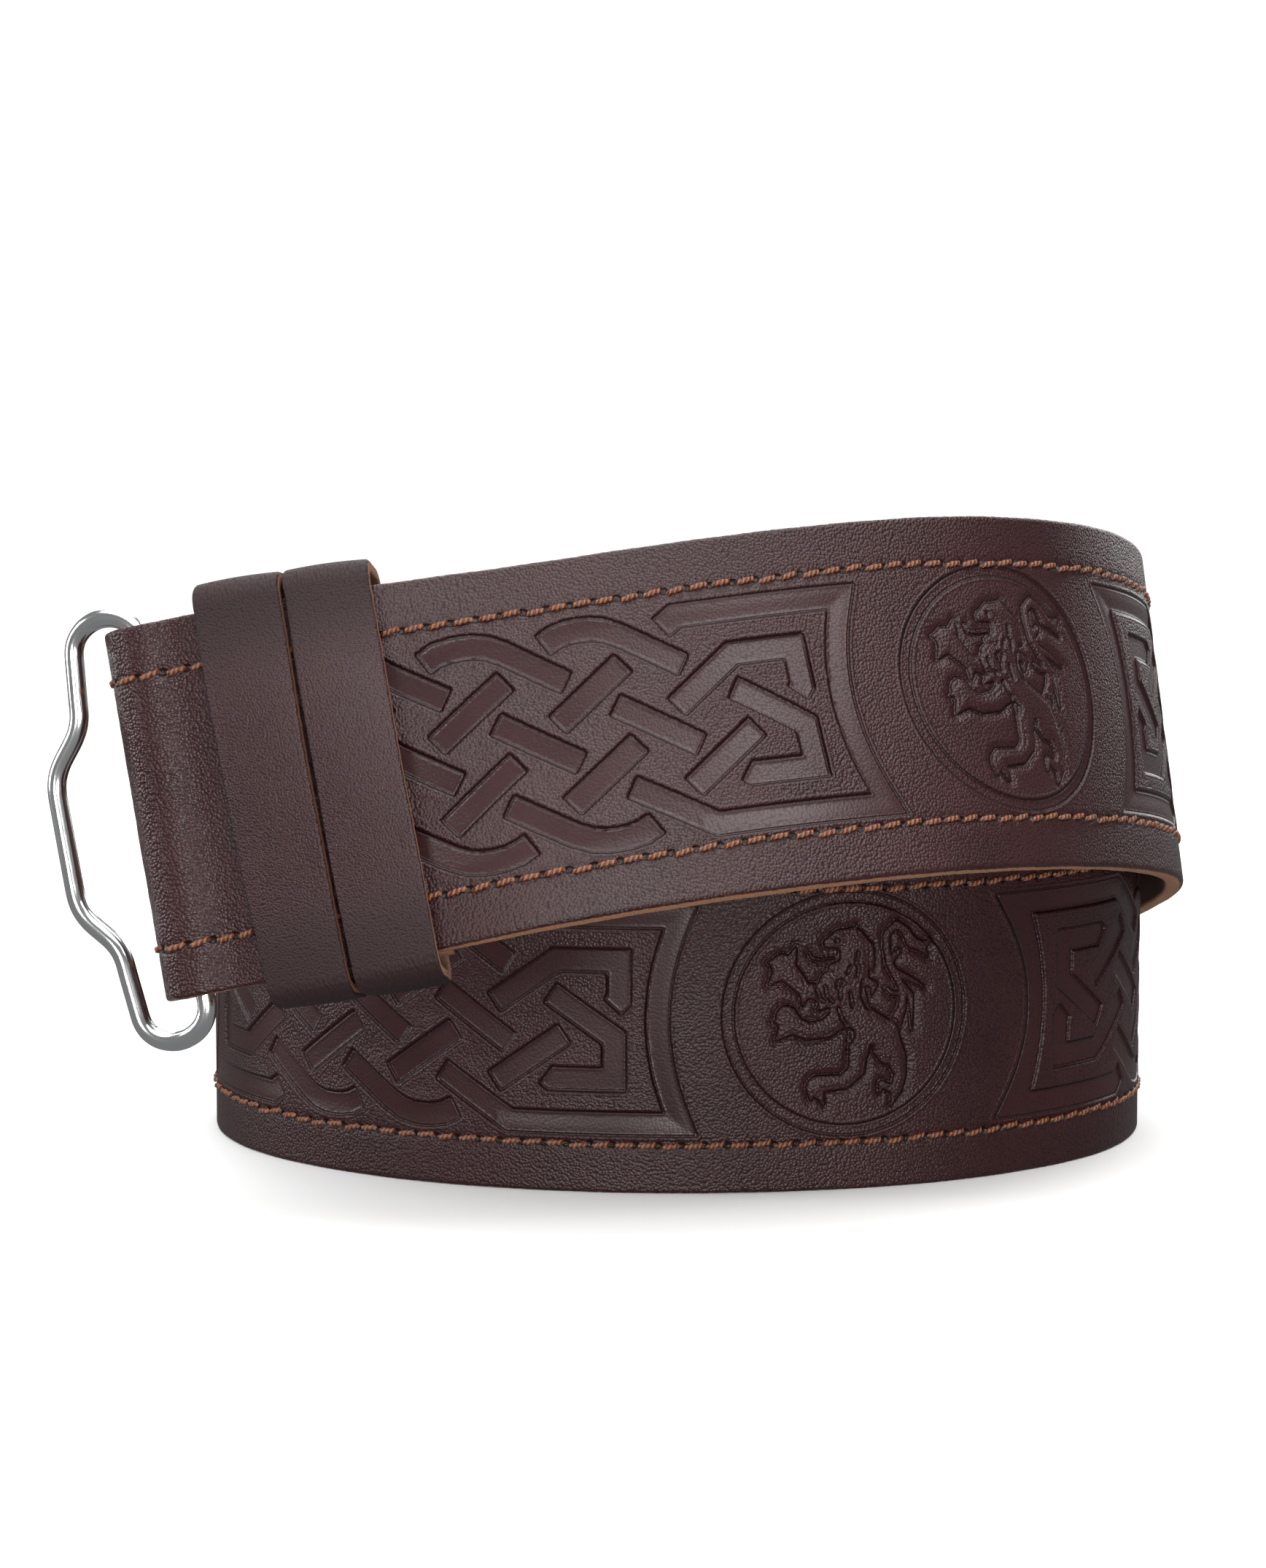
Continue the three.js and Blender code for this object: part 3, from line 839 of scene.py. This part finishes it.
def threadRow(name, starts, across, depth, flip, material):
    # a row of stitches: each comes up at a hole, crosses the leather and goes down again
    clearSelection()
    bpy.ops.mesh.primitive_uv_sphere_add(segments=stitch["sides"], ring_count=stitch["rings"], radius=1)
    piece = bpy.context.object
    piece.name = piece.data.name = name
    copies = piece.modifiers.new("row", "ARRAY")
    copies.count = len(starts)
    copies.use_relative_offset = False
    bpy.ops.object.modifier_apply(modifier="row")
    spots = pointsOf(piece).reshape(len(starts), -1, 3)
    ring = np.arccos(np.clip(spots[..., 2], -1, 1)) / math.pi  # 0 to 1 along a stitch
    angle = np.arctan2(spots[..., 1], spots[..., 0])
    middle = 2 * ring - 1
    swell = np.sqrt(np.clip(1 - middle**6, 0, 1)) * 0.8 + 0.2 * (np.abs(middle) < 0.999)
    twist = np.cos(2 * angle - ring * stitch["plyTwist"])
    radius = stitch["radius"] * swell * (1 + stitch["plyRelief"] * twist)
    order = np.random.default_rng(len(name))
    start, sway, tilt = (order.normal(0, wide, (len(starts), 1)) for wide in stitch["scatter"])
    run = middle / 2 * stitch["length"]
    along = start + starts[:, None] + run
    lift = stitch["crown"] * (1 - middle**2) - stitch["sunk"] - stitch["endDip"] * middle**6
    side = radius * np.cos(angle) + sway + run * (math.tan(math.radians(stitch["slant"])) + tilt)
    deep = depth - flip * (lift + radius * np.sin(angle) * stitch["flatness"])
    placeMesh(piece, onCourse(along, across + side, deep).reshape(-1, 3))
    giveMap(piece, along.ravel(), (angle * stitch["radius"]).ravel())
    closeRing(piece, False)
    finishPiece(piece, material, "belt")
    print(name, len(starts), "stitches")


def makeThreads():
    material, pitch = threadFinish(), stitch["pitch"]
    first, last = math.ceil(tailEnd / pitch) + 1, int(stitch["shownTo"] / pitch)
    front = np.arange(first, last) * pitch + pitch / 2
    back = np.arange(stitch["backFrom"], int(routeLength / pitch) - 1) * pitch + pitch / 2
    for name, across in (("thread_upper", stitchAcross), ("thread_lower", -stitchAcross)):
        threadRow(name, front, across, 0.0, 1, material)
        threadRow(name + "_back", back, across, strap["thickness"], -1, material)


# Keepers

keeper = {
    "width": 13.0,
    "thickness": 2.0,
    "start": 19.2,         # from the fold to the first one
    "spacing": 0.8,
    "slant": 1.5,          # degrees
    "play": 0.4,           # over the strap's face and under its tail
    "endPlay": 2.2,        # past the strap's edges
    "cornerRadius": 3.4,
    "edgeRound": 0.35,
    "bow": 1.7,            # how far its face swells over the strap
    "belly": 0.22,         # and between its own edges
    "shade": (0.22, 0.5),  # painted shade darkens it, and it gets dull, between these shares of the strap's width
    "pitch": 0.7,
    "cornerSteps": 9,
}


def keeperPath():
    # once round the inside of the band, with the way out at each point: across against height
    half = strap["width"] / 2 + keeper["endPlay"]
    low = tailHeight - strap["thickness"] / 2 - keeper["play"]
    high = keeper["play"]
    bend = keeper["cornerRadius"] - keeper["thickness"]
    path, ways = [], []
    corners = [(half - bend, high - bend, 90), (half - bend, low + bend, 0),
               (-half + bend, low + bend, -90), (-half + bend, high - bend, -180)]
    for x, y, first in corners:
        for turn in np.radians(np.linspace(first, first - 90, keeper["cornerSteps"])):
            way = np.array([math.cos(turn), math.sin(turn)])
            path.append(np.array([x, y]) + bend * way)
            ways.append(way)
    path, ways = np.array(path + [path[0]]), np.array(ways + [ways[0]])
    lengths = lengthsAlong(path)
    even = np.unique(np.concatenate([np.arange(0, lengths[-1], keeper["pitch"]), lengths]))
    path = np.stack([np.interp(even, lengths, path[:, k]) for k in (0, 1)], 1)
    ways = unit(np.stack([np.interp(even, lengths, ways[:, k]) for k in (0, 1)], 1))
    return path, ways, even


def keeperSection():
    # once round the leather: along the strap, height over the inner face, and the length round it
    half, thick, bend = keeper["width"] / 2, keeper["thickness"], keeper["edgeRound"]
    face = np.arange(keeper["pitch"] / 2, half - bend - 0.1, keeper["pitch"])
    rows, roundLengths = sectionRound(face, half, thick, bend, 5)
    return rows[:, 0], thick - rows[:, 1], roundLengths


def makeKeeper(name, index, material):
    path, ways, lengths = keeperPath()
    sideways, over, roundLengths = keeperSection()
    piece, column, row = gridPiece(name + "_leather", len(path), len(sideways))
    length, wide, over = lengths[column], sideways[row], over[row]
    half = keeper["width"] / 2
    over = over + keeper["belly"] * (1 - (wide / half) ** 2) * (over > keeper["thickness"] - 0.01)
    wave = 0.05 * np.sin(length * 0.21 + index) + 0.04 * np.sin(length * 2.3) * np.sin(length * 0.5)
    wide = wide + np.sign(wide) * wave * (np.abs(wide) > half - 1)
    spot = path[column] + ways[column] * over[:, None]
    across, reach = spot[:, 0], strap["width"] / 2 + keeper["endPlay"] + keeper["thickness"]
    height = spot[:, 1] + keeper["bow"] * (1 - (across / reach) ** 2) * (spot[:, 1] > 0)
    start = keeper["start"] + index * (keeper["width"] + keeper["spacing"]) + half
    slip = math.tan(math.radians(keeper["slant"]))
    placeMesh(piece, onStrap(across, height, start + wide - across * slip))
    giveMap(piece, length, roundLengths[row])
    shade = [strap["width"] * share for share in keeper["shade"]]
    # painted shade towards the keeper's ends, across the strap
    giveAttribute(piece, "endShadeAndRub", 1 - ease(np.abs(across), *shade))
    closeRing(piece, False)
    finishPiece(piece, material, "belt", name)
    print(name, len(piece.data.polygons), "faces")


def makeKeepers():
    grain = leatherLook["keeperGrain"]
    material = leather("keeperLeather", keeper["width"] / 2, keeper["thickness"], grain, False)
    for index, name in enumerate(("keeper_left", "keeper_right")):
        makeKeeper(name, index, material)


# Wire loop

loop = {
    "length": 66.4,
    "endReach": 5.0,       # of its rounded ends, past the straight bar
    "endHeight": 12.0,
    "shoulder": 21.0,      # from its middle to where the outer wire begins to rise
    "shoulderHeight": 12.8,
    "bow": 7.5,            # half the length of the outer wire's raised middle
    "bowHeight": 19.4,
    "drop": 1.6,           # it hangs this far under the middle of the strap
    "sides": 20,
    "rings": 360,
    "easings": 6,          # rounds of smoothing over the kinks where the stretches meet
    "dark": (0.78, 0.79, 0.81),
    "light": (0.9, 0.91, 0.92),
}


def chromeFinish():
    finish = Finish("brightWire")
    place = finish.node("ShaderNodeTexCoord", None, None, output="Object")
    smear = finish.noise(place, 160, 3)
    finish.feed("Base Color", finish.mix(smear, loop["dark"], loop["light"]))
    finish.feed("Metallic", 1.0)
    finish.feed("Roughness", smear * 0.1 + 0.1)
    finish.bumps(finish.noise(place, 420, 2), 0.00004, 0.25)
    return finish.material


def loopLine():
    # x along the bar, y away from the strap
    end, half = loop["length"] / 2 - loop["endReach"], loop["endHeight"] / 2
    middle = (loop["shoulder"] + loop["bow"]) / 2
    turns = np.radians(np.linspace(-90, 90, 60))[:, None]
    rightEnd = np.hstack([end + loop["endReach"] * np.cos(turns), half + half * np.sin(turns)])
    leftEnd = rightEnd[::-1] * (-1, 1)
    up, high = loop["shoulderHeight"], loop["bowHeight"]
    line = np.vstack([
        [(-end, 0)], rightEnd,
        bezier((loop["shoulder"], up), (middle, up), (middle, high), (loop["bow"], high)),
        bezier((-loop["bow"], high), (-middle, high), (-middle, up), (-loop["shoulder"], up)),
        leftEnd])
    lengths = lengthsAlong(line)
    even = np.linspace(0, lengths[-1], loop["rings"] + 1)
    line = np.stack([np.interp(even, lengths, line[:, k]) for k in (0, 1)], 1)[:-1]
    for _ in range(loop["easings"]):
        line = (np.roll(line, 1, 0) + 2 * line + np.roll(line, -1, 0)) / 4
    return np.vstack([line, line[:1]])


def makeLoop():
    line = loopLine()
    ways = unit(np.roll(line[:-1], -1, 0) - np.roll(line[:-1], 1, 0))
    ways = np.vstack([ways, ways[:1]])
    piece, column, row = gridPiece("wire", len(line), loop["sides"] + 1)
    angle = row / loop["sides"] * math.tau
    radius = strap["wireDiameter"] / 2
    outward = np.stack([ways[column][:, 1], -ways[column][:, 0]], 1)
    spot = line[column] + outward * (radius * np.cos(angle))[:, None]
    _, run, across, out = frameAt(barAlong)
    centre = onStrap(-loop["drop"], barHeight, barAlong)
    places = centre + spot[:, :1] * across - spot[:, 1:] * run + (radius * np.sin(angle))[:, None] * out
    placeMesh(piece, places)
    closeRing(piece, False)
    finishPiece(piece, chromeFinish(), "loop", "wire_loop")
    print("wire", len(piece.data.polygons), "faces")


# Floor, light and camera

studio = {
    "floorSize": 6.0,
    "floorDark": (0.6, 0.6, 0.6),
    "floorLight": (0.64, 0.64, 0.64),
    "floorRoughness": 0.7,
    "cameraDistance": 0.697932,
    "cameraElevation": 5.803,
    "cameraTarget": (-0.002159, 0.02094, 0.0598),
    "lens": 90.54,
    "sensor": 36.0,
    "lamps": {
        # degrees to the right of the camera and up, distance, width and height, watts, colour
        "frontLeftLamp": (-27, 9, 1.1, (0.3, 0.3), 4.4, (1, 0.985, 0.97)),
        "frontTopLamp": (40, 45, 1.1, (0.4, 0.4), 5.5, (1, 0.99, 0.98)),
        "frontLowLamp": (9, 3, 1.1, (0.4, 0.2), 8, (1, 0.98, 0.96)),
        "leftLamp": (-92, 14, 1.1, (0.3, 0.6), 6.2, (1, 1, 1)),
        "backRightLamp": (150, 18, 1.1, (0.5, 0.5), 3.5, (1, 1, 1)),
        "backLamp": (188, 38, 1.2, (0.7, 0.5), 5, (1, 1, 1)),
    },
    "skyStrength": 5.3,     # the wide soft light from above
    "skyAngle": 75,         # degrees
    "backdrop": 1.05,       # the world as the camera sees it
    "surround": 0.2,        # and the light that it gives
}


def makeFloor():
    clearSelection()
    bpy.ops.mesh.primitive_plane_add(size=studio["floorSize"])
    floor = bpy.context.object
    floor.name = "floor"
    finish = Finish("paleFloor")
    place = finish.node("ShaderNodeTexCoord", None, None, output="Object")
    colour = finish.mix(finish.noise(place, 3), studio["floorDark"], studio["floorLight"])
    finish.feed("Base Color", colour)
    finish.feed("Roughness", studio["floorRoughness"])
    floor.data.materials.append(finish.material)
    floor.visible_glossy = False  # keeps its glare off the leather


def makeLights():
    middle = Vector(studio["cameraTarget"])
    for name, (azimuth, elevation, distance, size, watts, colour) in studio["lamps"].items():
        azimuth, elevation = math.radians(azimuth), math.radians(elevation)
        level = distance * math.cos(elevation)
        right, ahead = level * math.sin(azimuth), level * math.cos(azimuth)
        away = Vector((right, -ahead, distance * math.sin(elevation)))
        lamp = bpy.data.lights.new(name, "AREA")
        lamp.shape, lamp.size, lamp.size_y = "RECTANGLE", size[0], size[1]
        lamp.energy, lamp.color = watts, colour
        holder = bpy.data.objects.new(name, lamp)
        holder.location = middle + away
        holder.rotation_euler = (-away).to_track_quat("-Z", "Y").to_euler()
        bpy.context.scene.collection.objects.link(holder)
    sky = bpy.data.lights.new("skyLamp", "SUN")
    sky.energy, sky.angle = studio["skyStrength"], math.radians(studio["skyAngle"])
    bpy.context.scene.collection.objects.link(bpy.data.objects.new("skyLamp", sky))
    world = bpy.data.worlds.new("whiteStudio")
    bpy.context.scene.world = world
    world.use_nodes = True
    tree = world.node_tree
    background = tree.nodes["Background"]
    path = tree.nodes.new("ShaderNodeLightPath")
    level = tree.nodes.new("ShaderNodeMapRange")
    level.inputs["To Min"].default_value = studio["surround"]
    level.inputs["To Max"].default_value = studio["backdrop"]
    tree.links.new(path.outputs["Is Camera Ray"], level.inputs["Value"])
    tree.links.new(level.outputs["Result"], background.inputs["Strength"])
    background.inputs["Color"].default_value = (1, 1, 1, 1)


def makeCamera():
    camera = bpy.data.cameras.new("photoCamera")
    camera.lens, camera.sensor_width = studio["lens"], studio["sensor"]
    camera.clip_start, camera.clip_end = 0.01, 50
    holder = bpy.data.objects.new("photoCamera", camera)
    tilt = math.radians(studio["cameraElevation"])
    way = Vector((0, math.cos(tilt), -math.sin(tilt)))
    holder.location = Vector(studio["cameraTarget"]) - way * studio["cameraDistance"]
    holder.rotation_euler = way.to_track_quat("-Z", "Y").to_euler()
    bpy.context.scene.collection.objects.link(holder)
    bpy.context.scene.camera = holder
    bpy.context.scene.view_settings.view_transform = "Standard"


makeCamera()
makeFloor()
makeLights()
print("camera, floor and lamps set")
makeStrap()
makeThreads()
makeKeepers()
makeLoop()
